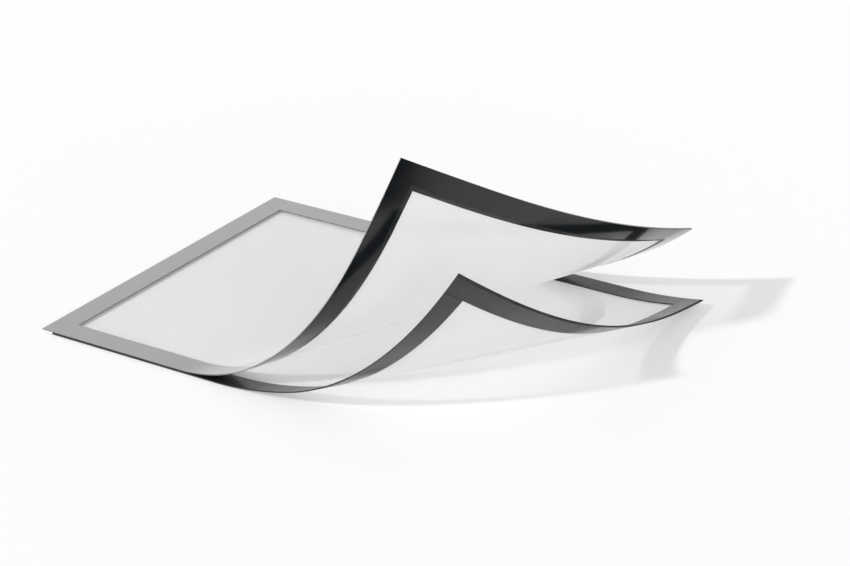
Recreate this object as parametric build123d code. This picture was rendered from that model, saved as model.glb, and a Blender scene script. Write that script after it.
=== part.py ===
from build123d import *
import os
from math import atan2, ceil, cos, degrees, hypot, radians, sin

# A flexible display frame: two sheets with magnetic edges, joined along one short edge and peeled open.
# A sheet is laid out flat as u, from the joined edge to the free end, v, from the near side to the far
# side, and a height above the table. Lengths are in millimetres and angles in degrees.

# Outline of both sheets, laid flat
sheet_length = 323.0
sheet_width = 236.0
border_width = 15.5
magnet_width = 13.0
tape_width = 8.0
crease_gap = 0.3

# Layers, from the table up
back_film_thickness = 0.25
back_magnet_thickness = 0.8
closing_gap = 0.15
cover_magnet_thickness = 0.3
cover_film_thickness = 0.25
backing_thickness = 0.12
face_thickness = 0.12
glue_line = 0.05

# Curl of the back sheet: the tip of its cones in the flat layout, where its bend starts on the near side,
# how far on it tightens, and the half angles of its two cones
back_tip_u = -253.0
back_tip_v = -624.0
back_bend_start = 129.0
back_bend_length = 54.0
back_cone_angle = 11.1
back_tail_angle = 6.25

# Curl of the cover, whose bend starts a lead before that of the back sheet
cover_tip_u = -10.0
cover_tip_v = -315.0
cover_bend_lead = 24.0
cover_bend_length = 163.5
cover_cone_angle = 13.75
cover_tail_angle = 39.0

# Spacing of the sections that a bent piece is lofted through, and of the points across a section
section_pitch = 9.0
point_pitch = 16.0

# A point this near to a line counts as on it
touching = 1e-6

# Heights of the layers
back_magnet_bottom = back_film_thickness + glue_line
back_magnet_top = back_magnet_bottom + back_magnet_thickness
cover_magnet_bottom = back_magnet_top + closing_gap
cover_magnet_top = cover_magnet_bottom + cover_magnet_thickness
cover_film_bottom = cover_magnet_top + glue_line
cover_film_top = cover_film_bottom + cover_film_thickness
backing_bottom = cover_film_top + glue_line
backing_top = backing_bottom + backing_thickness
face_bottom = backing_top + glue_line
face_top = face_bottom + face_thickness

# Ranges in the flat layout: the cover swings from its crease on, and its margin stays on the tape
cover_start = tape_width + crease_gap
margin = (0.0, tape_width)
whole_width = (0.0, sheet_width)
near_edge = (0.0, magnet_width)
far_edge = (sheet_width - magnet_width, sheet_width)
free_end = (sheet_length - magnet_width, sheet_length)


class Curl:
    """The bend of one sheet, which lies flat up to a line and then wraps round two cones in turn.

    Both cones have their tip at one point of the sheet's plane. Every straight line of the bent sheet
    runs from that tip, so the layer at the given level keeps all its lengths.
    """

    def __init__(self, tip_u, tip_v, bend_start, bend_length, cone, tail_cone, level):
        self.tip = Vector(tip_u, tip_v, level)
        self.first_line = atan2(-tip_v, bend_start - tip_u)
        self.cone_span = self.first_line - atan2(-tip_v, bend_start + bend_length - tip_u)
        self.along_line = Vector(cos(self.first_line), sin(self.first_line), 0)
        self.cone = radians(cone)
        self.tail_cone = radians(tail_cone)

    def wrap(self, spot, turn, half_angle):
        """Turn a spot on the first line round a cone that touches the sheet along that line."""
        axis = Axis((0, 0, 0), self.along_line * cos(half_angle) + Vector(0, 0, 1) * sin(half_angle))
        return spot.rotate(axis, -degrees(turn / sin(half_angle)))

    def place(self, u, v, height):
        """Where a point of the flat layout lies on the bent sheet."""
        past_line = self.first_line - atan2(v - self.tip.Y, u - self.tip.X)
        spot = self.along_line * hypot(u - self.tip.X, v - self.tip.Y) + Vector(0, 0, height - self.tip.Z)
        spot = self.wrap(spot, max(past_line - self.cone_span, 0.0), self.tail_cone)
        spot = self.wrap(spot, min(max(past_line, 0.0), self.cone_span), self.cone)
        return self.tip + spot.rotate(Axis.Z, -degrees(min(past_line, 0.0)))

    def flat_distance(self, u, v):
        """How far a point lies from the first line of the bend, above zero on the flat side."""
        return self.along_line.X * (v - self.tip.Y) - self.along_line.Y * (u - self.tip.X)

    def crossing(self, a, b):
        """Where the straight run from a to b crosses the first line of the bend, or None."""
        before, after = self.flat_distance(*a), self.flat_distance(*b)
        return between(a, b, before / (before - after)) if before * after < 0 else None


def between(a, b, share):
    """The point a share of the way from a to b in the flat layout."""
    return (a[0] + (b[0] - a[0]) * share, a[1] + (b[1] - a[1]) * share)


def distance(a, b):
    """The distance between two points of the flat layout."""
    return hypot(b[0] - a[0], b[1] - a[1])


def corners(u_range, v_range):
    """The corners of a rectangle of the flat layout, in order round it."""
    (u0, u1), (v0, v1) = u_range, v_range
    return [(u0, v0), (u1, v0), (u1, v1), (u0, v1)]


def shares(length, pitch):
    """Even steps from 0 to 1 that divide a length into runs of at most one pitch."""
    count = max(3, ceil(length / pitch))
    return [i / count for i in range(count + 1)]


class Layer:
    """One layer of a bent sheet, from its bottom to its top height, that pieces are cut from."""

    def __init__(self, curl, bottom, top):
        self.curl = curl
        self.heights = (bottom, top)

    def cross_lines(self, ends, steps):
        """The bottom and top edges of a cut that is straight in the flat layout."""
        spots = [between(*ends, share) for share in steps]
        return [Edge.make_spline([self.curl.place(*s, h) for s in spots], parameters=steps) for h in self.heights]

    def flat_run(self, start, end):
        """The four faces of a flat run of the layer between two cuts."""
        outline = [start[0], end[0], end[1], start[1]]
        low, high = [[self.curl.place(*spot, h) for spot in outline] for h in self.heights]
        sides = [[low[i], low[i + 1], high[i + 1], high[i]] for i in (0, 2)]
        return [Face(Wire.make_polygon(loop)) for loop in (low, high, *sides)]

    def bent_run(self, start, end, steps):
        """The four faces of a bent run of the layer between two cuts, lofted through cuts between them."""
        rings = []
        for share in shares(max(distance(a, b) for a, b in zip(start, end)), section_pitch):
            low, high = self.cross_lines([between(a, b, share) for a, b in zip(start, end)], steps)
            rings.append(Wire([low, Edge.make_line(low @ 1, high @ 1), high, Edge.make_line(high @ 0, low @ 0)]))
        return Shell.make_loft(rings).faces()

    def run(self, start, end, steps):
        """The long faces between two cuts, parted at the first line of the bend where that crosses them."""
        turn = [self.curl.crossing(a, b) for a, b in zip(start, end)]
        cuts = [start, turn, end] if all(turn) else [start, end]
        faces = []
        for first, last in zip(cuts, cuts[1:]):
            is_flat = all(self.curl.flat_distance(*spot) > -touching for spot in (*first, *last))
            faces += self.flat_run(first, last) if is_flat else self.bent_run(first, last, steps)
        return faces

    def strip(self, u_range, v_range):
        """A rectangle of the layer, run along its longer way."""
        a, b, c, d = corners(u_range, v_range)
        start, end = ((a, d), (b, c)) if distance(a, b) > distance(a, d) else ((a, b), (d, c))
        steps = shares(distance(*start), point_pitch)
        ends = [Face.make_surface_from_curves(*self.cross_lines(cut, steps)) for cut in (start, end)]
        return Solid(Shell([*self.run(start, end, steps), *ends]))

    def border(self, outer, inner):
        """A frame of the layer between two rectangles, in four runs that meet on mitres."""
        mitres = list(zip(corners(*outer), corners(*inner)))
        steps = shares(max(distance(*mitre) for mitre in mitres), point_pitch)
        faces = []
        for start, end in zip(mitres, mitres[1:] + mitres[:1]):
            faces += self.run(start, end, steps)
        return Solid(Shell(faces))


def slab(u_range, v_range, bottom, top):
    """A rectangle that lies flat on the table side of the bend, between two heights."""
    size = (u_range[1] - u_range[0], v_range[1] - v_range[0], top - bottom)
    return Pos(u_range[0], v_range[0], bottom) * Box(*size, align=(Align.MIN, Align.MIN, Align.MIN))


back_curl = Curl(back_tip_u, back_tip_v, back_bend_start, back_bend_length,
                 back_cone_angle, back_tail_angle, back_film_thickness)
cover_curl = Curl(cover_tip_u, cover_tip_v, back_bend_start - cover_bend_lead, cover_bend_length,
                  cover_cone_angle, cover_tail_angle, cover_film_bottom)

back_film = Layer(back_curl, 0.0, back_film_thickness)
back_magnet = Layer(back_curl, back_magnet_bottom, back_magnet_top)
cover_magnet = Layer(cover_curl, cover_magnet_bottom, cover_magnet_top)
cover_film = Layer(cover_curl, cover_film_bottom, cover_film_top)
cover_backing = Layer(cover_curl, backing_bottom, backing_top)
cover_face = Layer(cover_curl, face_bottom, face_top)

# The strips along the sides butt against the end strip, which runs the whole width
back_side = (tape_width, free_end[0])
cover_side = (cover_start, free_end[0])

cover_sheet = ((cover_start, sheet_length), whole_width)
window = ((border_width, sheet_length - border_width), (border_width, sheet_width - border_width))

pieces = {
    "back_film": back_film.strip((0.0, sheet_length), whole_width),
    "back_magnet_near": back_magnet.strip(back_side, near_edge),
    "back_magnet_far": back_magnet.strip(back_side, far_edge),
    "back_magnet_end": back_magnet.strip(free_end, whole_width),
    "hinge_tape": slab(margin, whole_width, back_magnet_bottom, cover_magnet_top),
    "cover_margin_film": slab(margin, whole_width, cover_film_bottom, cover_film_top),
    "cover_margin_backing": slab(margin, whole_width, backing_bottom, backing_top),
    "cover_margin_face": slab(margin, whole_width, face_bottom, face_top),
    "cover_magnet_near": cover_magnet.strip(cover_side, near_edge),
    "cover_magnet_far": cover_magnet.strip(cover_side, far_edge),
    "cover_magnet_end": cover_magnet.strip(free_end, whole_width),
    "cover_film": cover_film.strip(*cover_sheet),
    "cover_border_backing": cover_backing.border(cover_sheet, window),
    "cover_border_face": cover_face.border(cover_sheet, window),
}

# The origin is on the table, in the middle of the flat rectangle that the back film rests on
origin = Vector(back_bend_start / 2, sheet_width / 2, 0.0)

os.makedirs("parts", exist_ok=True)
for name, piece in pieces.items():
    export_step(piece.translate(origin * -1), f"parts/{name}.step")
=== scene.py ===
from math import atan2, ceil, cos, radians, sin

import bmesh
import bpy
from bpy.props import FloatProperty, FloatVectorProperty, PointerProperty
from mathutils import Matrix, Vector


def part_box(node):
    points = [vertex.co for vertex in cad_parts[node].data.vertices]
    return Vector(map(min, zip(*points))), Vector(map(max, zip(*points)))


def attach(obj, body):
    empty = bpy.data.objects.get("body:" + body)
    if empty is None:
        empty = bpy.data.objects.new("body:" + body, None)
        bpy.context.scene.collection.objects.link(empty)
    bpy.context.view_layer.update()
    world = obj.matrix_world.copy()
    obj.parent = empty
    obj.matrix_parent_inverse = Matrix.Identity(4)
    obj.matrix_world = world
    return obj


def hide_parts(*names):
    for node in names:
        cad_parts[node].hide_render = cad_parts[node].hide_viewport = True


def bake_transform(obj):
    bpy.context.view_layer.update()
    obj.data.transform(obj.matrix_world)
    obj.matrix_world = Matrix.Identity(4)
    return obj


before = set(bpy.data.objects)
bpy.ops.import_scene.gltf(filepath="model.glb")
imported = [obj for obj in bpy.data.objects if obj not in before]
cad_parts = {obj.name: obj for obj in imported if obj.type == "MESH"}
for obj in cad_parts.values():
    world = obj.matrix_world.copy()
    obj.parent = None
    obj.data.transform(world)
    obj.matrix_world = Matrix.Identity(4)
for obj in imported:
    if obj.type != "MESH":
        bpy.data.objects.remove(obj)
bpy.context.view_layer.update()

bl_info = {
    "name": "Magnetic Display Frame",
    "version": (1, 0, 0),
    "blender": (4, 5, 0),
    "location": "View3D > Sidebar > Display Frame",
    "description": "Builds a two-sheet magnetic display frame, peeled open on a table",
    "category": "Add Mesh",
}

SHEET_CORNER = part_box("back_film")[0]
TAPE_LOW, TAPE_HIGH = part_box("hinge_tape")
FILM_LOW, FILM_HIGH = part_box("cover_margin_film")
BACKING_LOW, BACKING_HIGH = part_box("cover_margin_backing")
FACE_LOW, FACE_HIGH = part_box("cover_margin_face")

# Meshes
PITCH_SLACK = 1e-6  # so that a run of a whole number of pitches gets no face more
SMOOTH_ANGLE = radians(5)  # faces that meet at less than this are shaded as one
NOWHERE = ((0.0, 0.0), (0.0, 0.0))  # the free part of a piece that is glued all over
CREASE_STEPS = range(-3, 7)  # grid lines over the crease, counted in gaps from the tape

# Finishes
WHITE = (1.0, 1.0, 1.0, 1.0)
NOISE_RANGE = (0.3, 0.7)  # where most values of the noise lie
FILM_GLOW = 0.3  # share of a milky film that is lit from behind
FILM_PASSING = 0.71  # share of the light that passes a milky film
FILM_MIRROR = 0.4  # strongest mirroring of a film's gloss
CLEAR_TINT = (0.985, 0.985, 0.985, 1.0)
CLEAR_HEIGHTS = (0.002, 0.012)  # above the table: clear up to the first, milky from the second on

# Table
TABLE_REACH = 6.0  # half its side
TABLE_LEVEL = -0.0002  # just under the object
TABLE_MIDDLE = (0.12, 0.0, 0.0)  # where the object stands
TABLE_FADE = (0.25, 0.75)  # distances from there over which it turns to white
TABLE_BOUNCE = 0.66  # share of its colour that lights the object
TABLE_WHITE = 0.38  # share of white in it near the object
TABLE_GLOSS_LOSS = 0.17  # how much less of that the gloss shows

# Dark card
FLAG_PLACE = 0.400  # along x
FLAG_END = -0.90  # along y
FLAG_FULL = -0.133  # along y, where its soft side starts
FLAG_EDGE = -0.073  # along y, where its soft side ends
FLAG_SOFTNESS = 2.2  # power of the fade between them
FLAG_HEIGHT = 0.25
FLAG_FOOT = 0.02  # height of its paler foot
FLAG_FOOT_SHARE = 0.3  # share of the dark that is left at the table

# Room and camera
GLOSS_HEIGHTS = (0.12, 0.55)  # sines of the heights over which the gloss shows a darker room
SUN_DISTANCE = 2.0
SENSOR_WIDTH = 36.0  # millimetres
CLIP_RANGE = (0.01, 50.0)


def length(name, description, default, **more):
    """A property for a length in metres."""
    return FloatProperty(name=name, description=description, default=default, unit="LENGTH",
                         subtype="DISTANCE", precision=5, **more)


def angle(name, description, degrees):
    """A property for an angle, given here in degrees."""
    return FloatProperty(name=name, description=description, default=radians(degrees), unit="ROTATION",
                         subtype="ANGLE")


def colour(name, description, *default):
    """A property for a linear colour."""
    return FloatVectorProperty(name=name, description=description, default=default, subtype="COLOR",
                               size=3, min=0.0, max=1.0)


class SheetSizes(bpy.types.PropertyGroup):
    """Sizes of the two sheets, laid flat."""

    sheet_length: length("Sheet length", "From the joined edge to the free end", 0.323)
    sheet_width: length("Sheet width", "From the near side to the far side", TAPE_HIGH.y - TAPE_LOW.y)
    border_width: length("Border width", "Printed border round the window", 0.0155)
    magnet_width: length("Magnet width", "Width of a magnetic strip", 0.013)
    tape_width: length("Tape width", "Width of the bonded margin", TAPE_HIGH.x - TAPE_LOW.x)
    crease_gap: length("Crease gap", "Room at the crease before the cover's strips start", 0.0003)
    back_film: length("Back film", "Thickness of the back film", 0.00025)
    back_magnet: length("Back magnet", "Thickness of a strip on the back sheet", 0.0008)
    cover_magnet: length("Cover magnet", "Thickness of a strip on the cover", 0.0003)
    chamfer: length("Chamfer", "Broken edge of a strip of the back sheet and of the tape", 0.00015)
    taper_width: length("Taper width", "How far the far strip of the cover thins towards the window", 0.002)
    taper: length("Taper", "How much thinner the far strip of the cover gets there", 0.00022)
    dull_rim: length("Dull rim", "Dull line along the window side of a strip of the cover", 0.00045)
    end_rim: length("End rim", "Dull rim along the free end of the back sheet", 0.0016)
    mesh_pitch: length("Mesh pitch", "Longest side of a mesh face", 0.003, min=0.0005)
    film_pitch: length("Film pitch", "Longest side of a mesh face of a film", 0.002, min=0.0005)


class BackCurl(bpy.types.PropertyGroup):
    """The bend of the back sheet round two cones that share a tip."""

    tip_u: length("Tip along", "Place of the cones' tip along the sheet", -0.253)
    tip_v: length("Tip across", "Place of the cones' tip across the sheet", -0.624)
    start: length("Bend start", "Where the bend starts on the near side", 0.129)
    run: length("First cone run", "Length of the first cone on the near side", 0.054)
    cone: angle("First cone", "Half angle of the first cone", 11.1)
    tail: angle("Second cone", "Half angle of the second cone", 6.25)


class CoverCurl(bpy.types.PropertyGroup):
    """The bend of the cover round two cones that share a tip."""

    tip_u: length("Tip along", "Place of the cones' tip along the sheet", -0.010)
    tip_v: length("Tip across", "Place of the cones' tip across the sheet", -0.315)
    start: length("Bend start", "Where the bend starts on the near side", 0.105)
    run: length("First cone run", "Length of the first cone on the near side", 0.1635)
    cone: angle("First cone", "Half angle of the first cone", 13.75)
    tail: angle("Second cone", "Half angle of the second cone", 39.0)


class Finishes(bpy.types.PropertyGroup):
    """Colours of the finishes."""

    silver: colour("Silver", "Satin silver face of the border", 0.471, 0.480, 0.493)
    black: colour("Black", "Black of the magnetic strips and of the border's underside", 0.0065, 0.0080, 0.0095)
    dull_black: colour("Dull black", "Colour of the cut edges of the magnetic strips", 0.022, 0.024, 0.027)
    back_film: colour("Back film", "Milky film of the back sheet", 0.915, 0.92, 0.915)
    cover_film: colour("Cover film", "Milky film of the cover", 0.94, 0.945, 0.94)
    tape: colour("Tape", "White foam tape along the joined edge", 0.80, 0.80, 0.78)
    table: colour("Table", "Pale table top", 0.94, 0.94, 0.94)


class StageSettings(bpy.types.PropertyGroup):
    """Camera and light."""

    camera_place: FloatVectorProperty(name="Camera place", description="Where the camera stands", size=3,
                                      default=(0.95067, -1.21104, 0.70989), subtype="TRANSLATION",
                                      unit="LENGTH")
    azimuth: angle("Azimuth", "Turn of the camera from the far direction", -33.973)
    elevation: angle("Elevation", "How far the camera looks down", 24.847)
    roll: angle("Roll", "Tilt of the camera about its view", -1.120)
    lens: FloatProperty(name="Lens", description="Focal length of the camera", default=114.99,
                        unit="CAMERA", subtype="DISTANCE_CAMERA")
    key_azimuth: angle("Key azimuth", "Direction the key light comes from", -148.5)
    key_elevation: angle("Key elevation", "Height of the key light", 33.3)
    key_size: angle("Key size", "How wide the key light looks from the table", 3.5)
    key_power: FloatProperty(name="Key power", description="Strength of the key light", default=2.1)
    fill_azimuth: angle("Fill azimuth", "Direction the fill light comes from", 130.0)
    fill_elevation: angle("Fill elevation", "Height of the fill light", 28.0)
    fill_size: angle("Fill size", "How wide the fill light looks from the table", 50.0)
    fill_power: FloatProperty(name="Fill power", description="Strength of the fill light", default=1.3)
    side_light: FloatProperty(name="Side light", description="Strength of the soft light near the horizon",
                              default=0.77)
    gloss_light: FloatProperty(name="Gloss light", description="Strength of the upper room seen in the gloss",
                               default=0.62)
    top_light: FloatProperty(name="Top light", description="Strength of the soft light from straight above",
                             default=0.32)


class Nodes:
    """A node tree under construction: makes a node, and links or sets each of its inputs."""

    def __init__(self, tree):
        self.tree = tree

    def add(self, kind, inputs=None, **settings):
        """A node of that kind. An input may be a value or the output of another node."""
        node = self.tree.nodes.new(kind)
        for name, value in settings.items():
            setattr(node, name, value)
        for key, value in (inputs or {}).items():
            if isinstance(value, bpy.types.NodeSocket):
                self.tree.links.new(value, node.inputs[key])
            else:
                node.inputs[key].default_value = value
        return node

    def math(self, operation, *values):
        """The result of a Math node."""
        return self.add("ShaderNodeMath", dict(enumerate(values)), operation=operation).outputs[0]

    def vector(self, operation, *values):
        """The result of a Vector Math node."""
        return self.add("ShaderNodeVectorMath", dict(enumerate(values)), operation=operation).outputs[0]

    def combine(self, x, y, z):
        """A vector from its three parts."""
        return self.add("ShaderNodeCombineXYZ", {"X": x, "Y": y, "Z": z}).outputs[0]

    def ramp(self, value, low, high, start=0.0, end=1.0, smooth=False):
        """Low up to where the value is at the start, high from where it is at the end."""
        inputs = {"Value": value, "From Min": start, "From Max": end, "To Min": low, "To Max": high}
        kind = "SMOOTHSTEP" if smooth else "LINEAR"
        return self.add("ShaderNodeMapRange", inputs, interpolation_type=kind).outputs[0]

    def mix(self, share, first, second):
        """A shader that is the first one where the share is 0 and the second one where it is 1."""
        return self.add("ShaderNodeMixShader", {0: share, 1: first, 2: second}).outputs[0]

    def attribute(self, name):
        """The value of a mark on the faces of a piece."""
        return self.add("ShaderNodeAttribute", attribute_name=name).outputs["Fac"]


def bend_tree():
    """The tree that bends a flat sheet: flat up to a line, then round two cones with one tip."""
    found = bpy.data.node_groups.get("bend_sheet")
    if found:
        return found
    tree = bpy.data.node_groups.new("bend_sheet", "GeometryNodeTree")
    face = tree.interface
    face.new_socket("Geometry", in_out="OUTPUT", socket_type="NodeSocketGeometry")
    face.new_socket("Geometry", in_out="INPUT", socket_type="NodeSocketGeometry")
    face.new_socket("Tip", in_out="INPUT", socket_type="NodeSocketVector")
    for name in ("First line", "Cone span", "Cone angle", "Tail angle"):
        face.new_socket(name, in_out="INPUT", socket_type="NodeSocketFloat")
    face.new_socket("Finish", in_out="INPUT", socket_type="NodeSocketMaterial")
    make = Nodes(tree)
    given = make.add("NodeGroupInput").outputs
    place = make.add("GeometryNodeInputPosition").outputs[0]
    part = make.add("ShaderNodeSeparateXYZ", {0: make.vector("SUBTRACT", place, given["Tip"])}).outputs
    past = make.math("SUBTRACT", given["First line"], make.math("ARCTAN2", part["Y"], part["X"]))
    reach = make.math("SQRT", make.math("MULTIPLY_ADD", part["X"], part["X"],
                                        make.math("MULTIPLY", part["Y"], part["Y"])))
    line_x = make.math("COSINE", given["First line"])
    line_y = make.math("SINE", given["First line"])
    spot = make.combine(make.math("MULTIPLY", line_x, reach), make.math("MULTIPLY", line_y, reach), part["Z"])
    on_tail = make.math("MAXIMUM", make.math("SUBTRACT", past, given["Cone span"]), 0.0)
    on_cone = make.math("MINIMUM", make.math("MAXIMUM", past, 0.0), given["Cone span"])
    for turn, half in ((on_tail, given["Tail angle"]), (on_cone, given["Cone angle"])):
        rise, level = make.math("SINE", half), make.math("COSINE", half)
        axis = make.combine(make.math("MULTIPLY", line_x, level), make.math("MULTIPLY", line_y, level), rise)
        spot = make.add("ShaderNodeVectorRotate",
                        {"Vector": spot, "Axis": axis,
                         "Angle": make.math("DIVIDE", turn, make.math("MULTIPLY", rise, -1.0))},
                        rotation_type="AXIS_ANGLE").outputs[0]
    on_flat = make.math("MULTIPLY", make.math("MINIMUM", past, 0.0), -1.0)
    spot = make.add("ShaderNodeVectorRotate", {"Vector": spot, "Axis": (0.0, 0.0, 1.0), "Angle": on_flat},
                    rotation_type="AXIS_ANGLE").outputs[0]
    bent = make.add("GeometryNodeSetPosition",
                    {"Geometry": given["Geometry"], "Position": make.vector("ADD", spot, given["Tip"])})
    whole = make.add("GeometryNodeRealizeInstances", {0: bent.outputs[0]})
    finished = make.add("GeometryNodeSetMaterial",
                        {"Geometry": whole.outputs[0], "Material": given["Finish"]})
    make.add("NodeGroupOutput", {"Geometry": finished.outputs[0]})
    return tree


def lines(marks, pitch):
    """Grid lines through all marks, at most one pitch apart."""
    found = [marks[0]]
    for start, end in zip(marks, marks[1:]):
        count = max(1, ceil((end - start) / pitch - PITCH_SLACK))
        found += [start + (end - start) * (i + 1) / count for i in range(count)]
    return found


def marks_within(span, places):
    """The two ends of a span and the places that lie between them."""
    return [span[0], *(place for place in places if span[0] < place < span[1]), span[1]]


def flat_sheet(name, u_marks, v_marks, bottom, top, pitch, window=None, chamfer=0.0, bonded=None,
               glued_sides=(0, 1), glued_walls=False, dull=None, lift=None):
    """A closed flat slab in the layout.

    A window may be left out of it and its edges broken by a chamfer, and lift says how much its lower side
    rises at a place across the sheet. A bonded sheet has its faces marked where it is glued, all round the free
    part that is given, on its lower side 0 and its upper side 1 or one of them, and its walls if asked. Walls,
    broken edges and the faces in the dull range are marked as cut.
    """
    if chamfer:
        u_marks, v_marks = [[marks[0], marks[0] + chamfer, *marks[1:-1], marks[-1] - chamfer, marks[-1]]
                            for marks in (u_marks, v_marks)]
    us, vs = lines(u_marks, pitch), lines(v_marks, pitch)
    last_u, last_v = len(us) - 1, len(vs) - 1

    def is_inside(i, j, ranges):
        middle = ((us[i] + us[i + 1]) / 2, (vs[j] + vs[j + 1]) / 2)
        return all(low < m < high for m, (low, high) in zip(middle, ranges))

    def is_cut(i, j):
        if not (0 <= i < last_u and 0 <= j < last_v):
            return True
        return bool(window) and is_inside(i, j, window)

    mesh = bmesh.new()
    glued = mesh.faces.layers.float.new("bonded")
    cut = mesh.faces.layers.float.new("cut_edge")
    made = {}

    def corner(i, j, side):
        if (i, j, side) not in made:
            inset = chamfer if i in (0, last_u) or j in (0, last_v) else 0.0
            rise = lift(vs[j]) if lift else 0.0
            height = top - inset if side else bottom + inset + rise
            made[i, j, side] = mesh.verts.new((us[i], vs[j], height))
        return made[i, j, side]

    for i in range(last_u):
        for j in range(last_v):
            if is_cut(i, j):
                continue
            ring = [(i, j), (i + 1, j), (i + 1, j + 1), (i, j + 1)]
            for side, loop in ((1, ring), (0, ring[::-1])):
                face = mesh.faces.new([corner(*spot, side) for spot in loop])
                face[glued] = float(bool(bonded) and side in glued_sides and not is_inside(i, j, bonded))
                at_edge = chamfer > 0.0 and (i in (0, last_u - 1) or j in (0, last_v - 1))
                face[cut] = float(at_edge or bool(dull) and is_inside(i, j, dull))
            beside = [(i, j - 1), (i + 1, j), (i, j + 1), (i - 1, j)]
            for a, b, cell in zip(ring, ring[1:] + ring[:1], beside):
                if is_cut(*cell):
                    wall = mesh.faces.new([corner(*a, 0), corner(*b, 0), corner(*b, 1), corner(*a, 1)])
                    wall[cut], wall[glued] = 1.0, float(glued_walls)
    mesh.normal_update()
    for face in mesh.faces:
        face.smooth = True
    for edge in mesh.edges:
        edge.smooth = edge.calc_face_angle() < SMOOTH_ANGLE
    data = bpy.data.meshes.new(name)
    mesh.to_mesh(data)
    mesh.free()
    piece = bpy.data.objects.new(name, data)
    bpy.context.scene.collection.objects.link(piece)
    return piece


def bend(piece, curl, level, finish):
    """Lay a flat piece in its place and bend it by the tree, as a plain mesh."""
    piece.data.transform(Matrix.Translation((SHEET_CORNER.x, SHEET_CORNER.y, 0.0)))
    first_line = atan2(-curl.tip_v, curl.start - curl.tip_u)
    values = {
        "Tip": (SHEET_CORNER.x + curl.tip_u, SHEET_CORNER.y + curl.tip_v, level),
        "First line": first_line,
        "Cone span": first_line - atan2(-curl.tip_v, curl.start + curl.run - curl.tip_u),
        "Cone angle": curl.cone,
        "Tail angle": curl.tail,
        "Finish": finish,
    }
    bender = piece.modifiers.new("bend", "NODES")
    bender.node_group = bend_tree()
    for item in bender.node_group.interface.items_tree:
        if item.in_out == "INPUT" and item.name in values:
            bender[item.identifier] = values[item.name]
    bpy.context.view_layer.update()
    flat = piece.data
    bent = bpy.data.meshes.new_from_object(piece.evaluated_get(bpy.context.evaluated_depsgraph_get()))
    piece.modifiers.clear()
    piece.data = bent
    bent.name = piece.name
    bpy.data.meshes.remove(flat)
    if len(bent.polygons) == 0 or len(bent.materials) == 0:
        raise RuntimeError(f"{piece.name} came out of the bend tree empty")
    return piece


def grain_group():
    """Fine grain: a value between two limits that varies over the surface, and the grain's own height."""
    found = bpy.data.node_groups.get("fine_grain")
    if found:
        return found
    tree = bpy.data.node_groups.new("fine_grain", "ShaderNodeTree")
    for name in ("Grain size", "Cloud size", "Low", "High"):
        tree.interface.new_socket(name, in_out="INPUT", socket_type="NodeSocketFloat")
    for name in ("Value", "Height"):
        tree.interface.new_socket(name, in_out="OUTPUT", socket_type="NodeSocketFloat")
    make = Nodes(tree)
    given = make.add("NodeGroupInput").outputs
    place = make.add("ShaderNodeTexCoord").outputs["Object"]
    fine, cloud = [
        make.add("ShaderNodeTexNoise", {"Vector": place, "Scale": make.math("DIVIDE", 1.0, given[size]),
                                        "Detail": detail}).outputs[0]
        for size, detail in (("Grain size", 3.0), ("Cloud size", 2.0))
    ]
    both = make.math("MULTIPLY_ADD", cloud, 0.5, make.math("MULTIPLY", fine, 0.5))
    value = make.ramp(both, given["Low"], given["High"], *NOISE_RANGE)
    make.add("NodeGroupOutput", {"Value": value, "Height": fine})
    return tree


def new_finish(name):
    """An empty material and its tree under construction, or the finished one if it was made before."""
    found = bpy.data.materials.get(name)
    if found:
        return found, None
    finish = bpy.data.materials.new(name)
    finish.use_nodes = True
    finish.node_tree.nodes.clear()
    return finish, Nodes(finish.node_tree)


def grain(make, grain_size, cloud_size, low, high):
    """The grain group placed in a material with its own values."""
    inputs = {"Grain size": grain_size, "Cloud size": cloud_size, "Low": low, "High": high}
    return make.add("ShaderNodeGroup", inputs, node_tree=grain_group()).outputs


def tinted(make, base, factor):
    """A colour made lighter or darker by a factor that varies over the surface."""
    return make.add("ShaderNodeVectorMath", {0: tuple(base), "Scale": factor}, operation="SCALE").outputs[0]


def grazing(make, front, edge_on, start=0.45, end=0.75):
    """A value for a surface that is seen from the front, which turns to another where it is seen edge on."""
    facing = make.add("ShaderNodeLayerWeight").outputs["Facing"]
    return make.ramp(facing, front, edge_on, start, end, smooth=True)


def silver_finish():
    """Satin silver print: a fine metallic flake under a thin lacquer."""
    finish, make = new_finish("satin_silver")
    if make is None:
        return finish
    flake = grain(make, grain_size=0.00025, cloud_size=0.03, low=0.94, high=1.06)
    sheen = grain(make, grain_size=0.0004, cloud_size=0.05, low=0.40, high=0.50)
    tint = tinted(make, bpy.context.scene.frame_finishes.silver, flake["Value"])
    bump = make.add("ShaderNodeBump", {"Strength": 0.08, "Distance": 0.00005, "Height": flake["Height"]})
    lacquer = grazing(make, front=0.1, edge_on=1.0)
    shader = make.add("ShaderNodeBsdfPrincipled",
                      {"Base Color": tint, "Metallic": 0.75, "Roughness": sheen["Value"],
                       "Normal": bump.outputs[0], "Coat Weight": lacquer, "Coat Roughness": 0.2})
    make.add("ShaderNodeOutputMaterial", {"Surface": shader.outputs[0]})
    return finish


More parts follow.
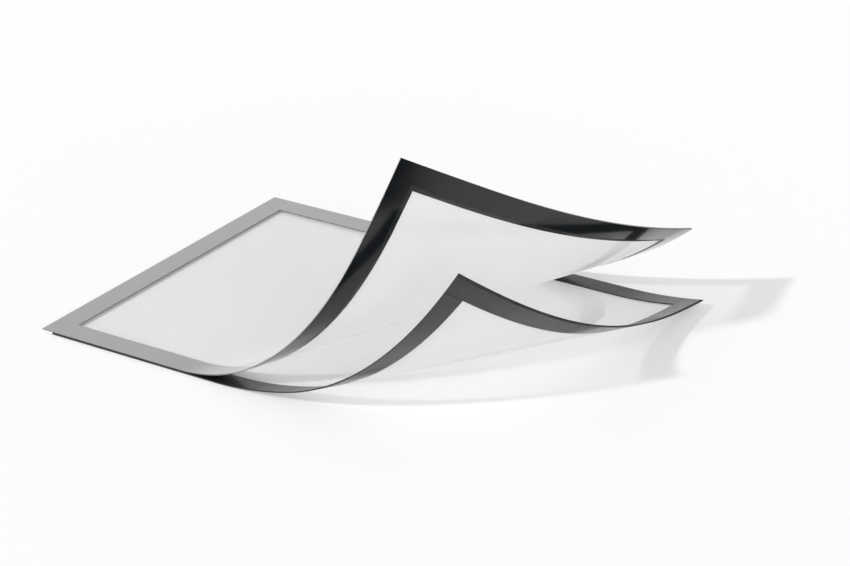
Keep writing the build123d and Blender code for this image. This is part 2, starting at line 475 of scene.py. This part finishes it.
def black_finish(name, roughness, coat, edge_coat):
    """Black strip or print: its gloss varies a little, under a clear skin, and its cut edges are dull.

    The skin is given as seen from the front and as seen edge on. Where the black is glued to a film, the film
    is its skin.
    """
    finish, make = new_finish(name)
    if make is None:
        return finish
    mottle = grain(make, grain_size=0.003, cloud_size=0.02, low=0.88, high=1.12)["Value"]
    gloss = grain(make, grain_size=0.005, cloud_size=0.04, low=roughness * 0.85, high=roughness * 1.15)
    cut = make.attribute("cut_edge")
    open_skin = grazing(make, front=coat, edge_on=edge_coat)
    film_skin = grazing(make, front=0.8, edge_on=0.0)
    skin = make.math("MULTIPLY_ADD", make.attribute("bonded"), make.math("SUBTRACT", film_skin, open_skin),
                     open_skin)
    face = make.add("ShaderNodeBsdfPrincipled",
                    {"Base Color": tinted(make, bpy.context.scene.frame_finishes.black, mottle),
                     "Roughness": gloss["Value"], "Coat Weight": skin, "Coat Roughness": 0.08})
    edge = make.add("ShaderNodeBsdfPrincipled",
                    {"Base Color": tinted(make, bpy.context.scene.frame_finishes.dull_black, mottle),
                     "Roughness": 0.7, "Specular IOR Level": 0.45})
    make.add("ShaderNodeOutputMaterial", {"Surface": make.mix(cut, face.outputs[0], edge.outputs[0])})
    return finish


def film_finish(name, base, nearby):
    """Frosted film with a clear gloss, that hides what is behind it.

    It is clear where it is glued down, and by the share that is given where it lies just above the other
    sheet. The camera looks through the inner sides of its faces, and a share of the light passes it.
    """
    finish, make = new_finish(name)
    if make is None:
        return finish
    haze = grain(make, grain_size=0.0006, cloud_size=0.06, low=0.62, high=0.72)
    milk = grain(make, grain_size=0.002, cloud_size=0.08, low=0.985, high=1.015)
    tint = tinted(make, base, milk["Value"])
    sheen = grazing(make, front=0.2, edge_on=0.0, start=0.75, end=0.92)
    sheet = make.add("ShaderNodeBsdfPrincipled",
                     {"Base Color": tint, "Roughness": haze["Value"], "Transmission Weight": 0.1, "IOR": 1.2,
                      "Specular IOR Level": sheen})
    glow = make.add("ShaderNodeBsdfTranslucent", {"Color": tint})
    milky = make.mix(FILM_GLOW, sheet.outputs[0], glow.outputs[0])
    clear = make.add("ShaderNodeBsdfTransparent", {"Color": CLEAR_TINT}).outputs[0]

    path = make.add("ShaderNodeLightPath").outputs
    inside = make.add("ShaderNodeNewGeometry").outputs["Backfacing"]
    glued = make.attribute("bonded")
    place = make.add("ShaderNodeSeparateXYZ", {0: make.add("ShaderNodeTexCoord").outputs["Object"]}).outputs
    low = make.ramp(place["Z"], nearby, 0.0, *CLEAR_HEIGHTS, smooth=True)
    seen_inside = make.math("MULTIPLY", inside, path["Is Camera Ray"])
    clarity = make.math("MAXIMUM", seen_inside, make.math("MAXIMUM", glued, low))
    body = make.mix(clarity, milky, clear)

    gloss = make.add("ShaderNodeBsdfGlossy", {"Color": WHITE, "Roughness": 0.04})
    square_on = grazing(make, front=1.0, edge_on=0.0, start=0.70, end=0.82)
    hidden = make.math("MAXIMUM", inside, make.math("MULTIPLY", glued, square_on))
    mirror = make.math("MINIMUM", make.add("ShaderNodeFresnel", {"IOR": 1.45}).outputs[0], FILM_MIRROR)
    not_edge_on = grazing(make, front=0.75, edge_on=0.0, start=0.90, end=0.97)
    open_gloss = make.math("MULTIPLY", make.math("SUBTRACT", 1.0, hidden), not_edge_on)
    surface = make.mix(make.math("MULTIPLY", mirror, open_gloss), body, gloss.outputs[0])

    is_light = make.math("MAXIMUM", path["Is Shadow Ray"], path["Is Diffuse Ray"])
    passing = make.math("MULTIPLY", is_light, make.math("MAXIMUM", FILM_PASSING, low))
    make.add("ShaderNodeOutputMaterial", {"Surface": make.mix(passing, surface, clear)})
    return finish


def tape_finish():
    """White foam tape with a fine open grain."""
    finish, make = new_finish("white_foam_tape")
    if make is None:
        return finish
    cell = grain(make, grain_size=0.0005, cloud_size=0.01, low=0.93, high=1.05)
    tint = tinted(make, bpy.context.scene.frame_finishes.tape, cell["Value"])
    rough = grain(make, grain_size=0.0008, cloud_size=0.02, low=0.72, high=0.85)
    bump = make.add("ShaderNodeBump", {"Strength": 0.3, "Distance": 0.0001, "Height": cell["Height"]})
    shader = make.add("ShaderNodeBsdfPrincipled",
                      {"Base Color": tint, "Roughness": rough["Value"], "Normal": bump.outputs[0]})
    make.add("ShaderNodeOutputMaterial", {"Surface": shader.outputs[0]})
    return finish


def strip_ranges(sizes, side_start):
    """The near, far and end strips of a sheet in the flat layout: ranges along and across."""
    end_start = sizes.sheet_length - sizes.magnet_width
    width, strip = sizes.sheet_width, sizes.magnet_width
    return {
        "near": ((side_start, end_start), (0.0, strip)),
        "far": ((side_start, end_start), (width - strip, width)),
        "end": ((end_start, sizes.sheet_length), (0.0, width)),
    }


class DISPLAYFRAME_OT_back_film(bpy.types.Operator):
    """Make the film of the back sheet"""

    bl_idname = "display_frame.back_film"
    bl_label = "Back Film"

    def execute(self, context):
        sizes, curl = context.scene.frame_sizes, context.scene.frame_back_curl
        strip, end, width = sizes.magnet_width, sizes.sheet_length, sizes.sheet_width
        free = ((sizes.tape_width, end - strip), (strip, width - strip))
        film = flat_sheet("back_film_sheet", [0.0, *free[0], end], [0.0, *free[1], width],
                          0.0, sizes.back_film, sizes.film_pitch, bonded=free, glued_walls=True)
        finish = film_finish("frosted_film", context.scene.frame_finishes.back_film, nearby=0.0)
        bend(film, curl, sizes.back_film, finish)
        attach(film, "back_panel")
        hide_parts("back_film")
        return {"FINISHED"}


class DISPLAYFRAME_OT_back_magnets(bpy.types.Operator):
    """Make the three magnetic strips of the back sheet"""

    bl_idname = "display_frame.back_magnets"
    bl_label = "Back Magnets"

    def execute(self, context):
        sizes, curl = context.scene.frame_sizes, context.scene.frame_back_curl
        finish = black_finish("black_rubber", roughness=0.35, coat=0.3, edge_coat=0.35)
        rim_start = sizes.sheet_length - sizes.end_rim
        for side, (u_range, v_range) in strip_ranges(sizes, sizes.tape_width).items():
            strip = flat_sheet(f"back_strip_{side}", marks_within(u_range, [rim_start]), v_range,
                               TAPE_LOW.z, TAPE_LOW.z + sizes.back_magnet, sizes.mesh_pitch,
                               chamfer=sizes.chamfer, bonded=NOWHERE, glued_sides=(0,),
                               dull=((rim_start, sizes.sheet_length), (0.0, sizes.sheet_width)))
            bend(strip, curl, sizes.back_film, finish)
            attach(strip, "back_panel")
            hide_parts(f"back_magnet_{side}")
        return {"FINISHED"}


class DISPLAYFRAME_OT_hinge_tape(bpy.types.Operator):
    """Make the foam tape that joins the two sheets"""

    bl_idname = "display_frame.hinge_tape"
    bl_label = "Hinge Tape"

    def execute(self, context):
        sizes, curl = context.scene.frame_sizes, context.scene.frame_back_curl
        tape = flat_sheet("foam_tape", [0.0, sizes.tape_width], [0.0, sizes.sheet_width],
                          TAPE_LOW.z, TAPE_HIGH.z, sizes.mesh_pitch, chamfer=sizes.chamfer)
        bend(tape, curl, sizes.back_film, tape_finish())
        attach(tape, "back_panel")
        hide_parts("hinge_tape")
        return {"FINISHED"}


class DISPLAYFRAME_OT_cover_magnets(bpy.types.Operator):
    """Make the three magnetic strips of the cover"""

    bl_idname = "display_frame.cover_magnets"
    bl_label = "Cover Magnets"

    def execute(self, context):
        sizes, curl = context.scene.frame_sizes, context.scene.frame_cover_curl
        finish = black_finish("glossy_black", roughness=0.13, coat=0.05, edge_coat=1.0)
        end_start, near_end = sizes.sheet_length - sizes.magnet_width, sizes.magnet_width
        far_start = sizes.sheet_width - sizes.magnet_width
        rim, taper_width = sizes.dull_rim, sizes.taper_width
        u_lines = [end_start, end_start + rim]
        v_lines = [near_end - rim, near_end, far_start, far_start + taper_width]

        def lift(v):
            return sizes.taper * max(0.0, 1.0 - (v - far_start) / taper_width)

        for side, (u_range, v_range) in strip_ranges(sizes, sizes.tape_width + sizes.crease_gap).items():
            strip = flat_sheet(f"cover_strip_{side}",
                               marks_within(u_range, u_lines), marks_within(v_range, v_lines),
                               TAPE_HIGH.z - sizes.cover_magnet, TAPE_HIGH.z, sizes.mesh_pitch,
                               dull=((0.0, end_start + rim), (near_end - rim, far_start)),
                               lift=lift if side == "far" else None)
            bend(strip, curl, FILM_LOW.z, finish)
            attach(strip, "cover")
            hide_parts(f"cover_magnet_{side}")
        return {"FINISHED"}


class DISPLAYFRAME_OT_cover_sheet(bpy.types.Operator):
    """Make the cover's film and printed border, each in one run over the crease"""

    bl_idname = "display_frame.cover_sheet"
    bl_label = "Cover Sheet"

    def execute(self, context):
        sizes, curl = context.scene.frame_sizes, context.scene.frame_cover_curl
        border, end, width = sizes.border_width, sizes.sheet_length, sizes.sheet_width
        window = ((border, end - border), (border, width - border))
        crease = [sizes.tape_width + step * sizes.crease_gap for step in CREASE_STEPS]
        u_marks = [0.0, *crease, *window[0], end]
        v_marks = [0.0, *window[1], width]
        black = black_finish("printed_black", roughness=0.35, coat=0.2, edge_coat=0.6)
        clear = film_finish("clear_window", context.scene.frame_finishes.cover_film, nearby=0.92)
        layers = (
            ("window_film", FILM_LOW.z, FILM_HIGH.z, None, clear, "clear_film",
             ("cover_margin_film", "cover_film")),
            ("border_black", BACKING_LOW.z, BACKING_HIGH.z, window, black, "black_backing",
             ("cover_margin_backing", "cover_border_backing")),
            ("border_silver", FACE_LOW.z, FACE_HIGH.z, window, silver_finish(), "silver_face",
             ("cover_margin_face", "cover_border_face")),
        )
        for name, bottom, top, hole, finish, slot, nodes in layers:
            layer = flat_sheet(name, u_marks, v_marks, bottom, top,
                               sizes.mesh_pitch if hole else sizes.film_pitch, window=hole, bonded=window)
            bend(layer, curl, FILM_LOW.z, finish)
            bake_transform(layer)
            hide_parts(*nodes)
        return {"FINISHED"}


def to_the_eye(make, path):
    """1 for what the camera sees, itself or by gloss and glass, and 0 for what only lights the object."""
    by_object = make.math("MAXIMUM", path["Is Glossy Ray"], path["Is Transmission Ray"])
    return make.math("MAXIMUM", path["Is Camera Ray"], by_object)


def table_finish(base):
    """Pale table that keeps its shadows and turns to plain white away from the object."""
    finish, make = new_finish("pale_table")
    if make is None:
        return finish
    place = make.add("ShaderNodeTexCoord").outputs["Object"]
    away = make.add("ShaderNodeVectorMath", {0: place, 1: TABLE_MIDDLE}, operation="DISTANCE").outputs["Value"]
    far = make.ramp(away, 0.0, 1.0, *TABLE_FADE, smooth=True)
    path = make.add("ShaderNodeLightPath").outputs
    seen = to_the_eye(make, path)
    shade = make.ramp(seen, TABLE_BOUNCE, 1.0)
    board = make.add("ShaderNodeBsdfPrincipled", {"Base Color": tinted(make, base, shade), "Roughness": 0.9,
                                                  "Specular IOR Level": 0.0})
    white = make.add("ShaderNodeEmission", {"Color": WHITE, "Strength": 1.0})
    near_white = make.math("MULTIPLY_ADD", path["Is Glossy Ray"], -TABLE_GLOSS_LOSS, TABLE_WHITE)
    bright = make.math("MULTIPLY", make.ramp(far, near_white, 1.0), seen)
    make.add("ShaderNodeOutputMaterial", {"Surface": make.mix(bright, board.outputs[0], white.outputs[0])})
    return finish


def flag_finish():
    """Dark card with soft edges beside the view, that only the gloss of the object shows."""
    finish, make = new_finish("dark_card")
    if make is None:
        return finish
    place = make.add("ShaderNodeSeparateXYZ", {0: make.add("ShaderNodeTexCoord").outputs["Object"]}).outputs
    side = make.math("POWER", make.ramp(place["Y"], 1.0, 0.0, FLAG_FULL, FLAG_EDGE), FLAG_SOFTNESS)
    foot = make.ramp(place["Z"], FLAG_FOOT_SHARE, 1.0, 0.0, FLAG_FOOT)
    shade = make.add("ShaderNodeBsdfPrincipled", {"Base Color": (0.01, 0.01, 0.01, 1.0), "Roughness": 1.0,
                                                  "Specular IOR Level": 0.0})
    nothing = make.add("ShaderNodeBsdfTransparent")
    shown = make.mix(make.math("MULTIPLY", side, foot), nothing.outputs[0], shade.outputs[0])
    make.add("ShaderNodeOutputMaterial", {"Surface": shown})
    return finish


def stage_face(name, corners, finish):
    """One flat face of the stage."""
    data = bpy.data.meshes.new(name)
    data.from_pydata(corners, [], [(0, 1, 2, 3)])
    data.materials.append(finish)
    face = bpy.data.objects.new(name, data)
    bpy.context.scene.collection.objects.link(face)
    return face


def white_room(stage):
    """A world that is white to the eye, less bright high up in the gloss, and lights softly from the sides."""
    world = bpy.data.worlds.new("white_room")
    world.use_nodes = True
    world.node_tree.nodes.clear()
    make = Nodes(world.node_tree)
    path = make.add("ShaderNodeLightPath").outputs
    sky = make.add("ShaderNodeTexCoord").outputs["Generated"]
    height = make.add("ShaderNodeSeparateXYZ", {0: sky}).outputs["Z"]
    light = make.math("MULTIPLY_ADD", make.math("ABSOLUTE", height), stage.top_light - stage.side_light,
                      stage.side_light)
    upper = make.ramp(height, 1.0, stage.gloss_light, *GLOSS_HEIGHTS, smooth=True)
    view = make.ramp(path["Is Glossy Ray"], 1.0, upper)
    strength = make.ramp(to_the_eye(make, path), light, view)
    glow = make.add("ShaderNodeBackground", {"Color": WHITE, "Strength": strength})
    make.add("ShaderNodeOutputWorld", {"Surface": glow.outputs[0]})
    return world


def sun(stage, name, is_mirrored):
    """A distant lamp with the stage's values of that name, which the gloss shows or not."""
    turn, rise, size, power = [getattr(stage, f"{name}_{value}")
                               for value in ("azimuth", "elevation", "size", "power")]
    lamp = bpy.data.lights.new(f"{name}_light", "SUN")
    lamp.energy, lamp.angle = power, size
    light = bpy.data.objects.new(f"{name}_light", lamp)
    towards = Vector((sin(turn) * cos(rise), cos(turn) * cos(rise), sin(rise)))
    light.rotation_euler = towards.to_track_quat("Z", "Y").to_euler()
    light.location = towards * SUN_DISTANCE
    light.visible_glossy = is_mirrored
    bpy.context.scene.collection.objects.link(light)


def photo_camera(stage):
    """The camera, from its place, the two angles of its view and its roll about that view."""
    lens = bpy.data.cameras.new("camera")
    lens.sensor_fit = "HORIZONTAL"
    lens.sensor_width = SENSOR_WIDTH
    lens.lens = stage.lens
    lens.clip_start, lens.clip_end = CLIP_RANGE
    camera = bpy.data.objects.new("camera", lens)
    level = cos(stage.elevation)
    ahead = Vector((sin(stage.azimuth) * level, cos(stage.azimuth) * level, -sin(stage.elevation)))
    right = Vector((cos(stage.azimuth), -sin(stage.azimuth), 0.0))
    up = right.cross(ahead)
    tilt_right = right * cos(stage.roll) + up * sin(stage.roll)
    tilt_up = up * cos(stage.roll) - right * sin(stage.roll)
    turn = Matrix((tilt_right, tilt_up, -ahead)).transposed()
    camera.matrix_world = Matrix.Translation(stage.camera_place) @ turn.to_4x4()
    bpy.context.scene.collection.objects.link(camera)
    return camera


class DISPLAYFRAME_OT_stage(bpy.types.Operator):
    """Set the table, the light and the camera"""

    bl_idname = "display_frame.stage"
    bl_label = "Stage"

    def execute(self, context):
        scene, stage = context.scene, context.scene.frame_stage
        signs = ((-1, -1), (1, -1), (1, 1), (-1, 1))
        table = stage_face("table", [(x * TABLE_REACH, y * TABLE_REACH, TABLE_LEVEL) for x, y in signs],
                           table_finish(scene.frame_finishes.table))

        card = ((FLAG_END, 0.0), (FLAG_EDGE, 0.0), (FLAG_EDGE, FLAG_HEIGHT), (FLAG_END, FLAG_HEIGHT))
        flag = stage_face("dark_flag", [(FLAG_PLACE, y, z) for y, z in card], flag_finish())
        flag.visible_camera = flag.visible_diffuse = flag.visible_shadow = flag.visible_transmission = False

        scene.world = white_room(stage)
        sun(stage, "key", is_mirrored=True)
        sun(stage, "fill", is_mirrored=False)
        scene.camera = photo_camera(stage)
        scene.view_settings.view_transform = "Standard"
        return {"FINISHED"}


class DISPLAYFRAME_PT_panel(bpy.types.Panel):
    """The operators and values of the display frame"""

    bl_idname = "DISPLAYFRAME_PT_panel"
    bl_label = "Display Frame"
    bl_space_type = "VIEW_3D"
    bl_region_type = "UI"
    bl_category = "Display Frame"

    def draw(self, context):
        for maker in MAKERS:
            self.layout.operator(maker.bl_idname)
        for group, attribute in GROUPS:
            box = self.layout.box()
            box.label(text=group.__doc__)
            for name in group.__annotations__:
                box.prop(getattr(context.scene, attribute), name)


GROUPS = (
    (SheetSizes, "frame_sizes"),
    (BackCurl, "frame_back_curl"),
    (CoverCurl, "frame_cover_curl"),
    (Finishes, "frame_finishes"),
    (StageSettings, "frame_stage"),
)
MAKERS = (
    DISPLAYFRAME_OT_back_film,
    DISPLAYFRAME_OT_back_magnets,
    DISPLAYFRAME_OT_hinge_tape,
    DISPLAYFRAME_OT_cover_magnets,
    DISPLAYFRAME_OT_cover_sheet,
    DISPLAYFRAME_OT_stage,
)


def register():
    """Register the classes and hang the values on the scene."""
    for group, attribute in GROUPS:
        bpy.utils.register_class(group)
        setattr(bpy.types.Scene, attribute, PointerProperty(type=group))
    for maker in (*MAKERS, DISPLAYFRAME_PT_panel):
        bpy.utils.register_class(maker)


def unregister():
    """Take the classes and values away again."""
    for maker in reversed((*MAKERS, DISPLAYFRAME_PT_panel)):
        bpy.utils.unregister_class(maker)
    for group, attribute in reversed(GROUPS):
        delattr(bpy.types.Scene, attribute)
        bpy.utils.unregister_class(group)


def main():
    """Build every piece and the stage."""
    register()
    bpy.ops.display_frame.back_film()
    bpy.ops.display_frame.back_magnets()
    bpy.ops.display_frame.hinge_tape()
    bpy.ops.display_frame.cover_magnets()
    bpy.ops.display_frame.cover_sheet()
    bpy.ops.display_frame.stage()


if __name__ == "__main__":
    main()
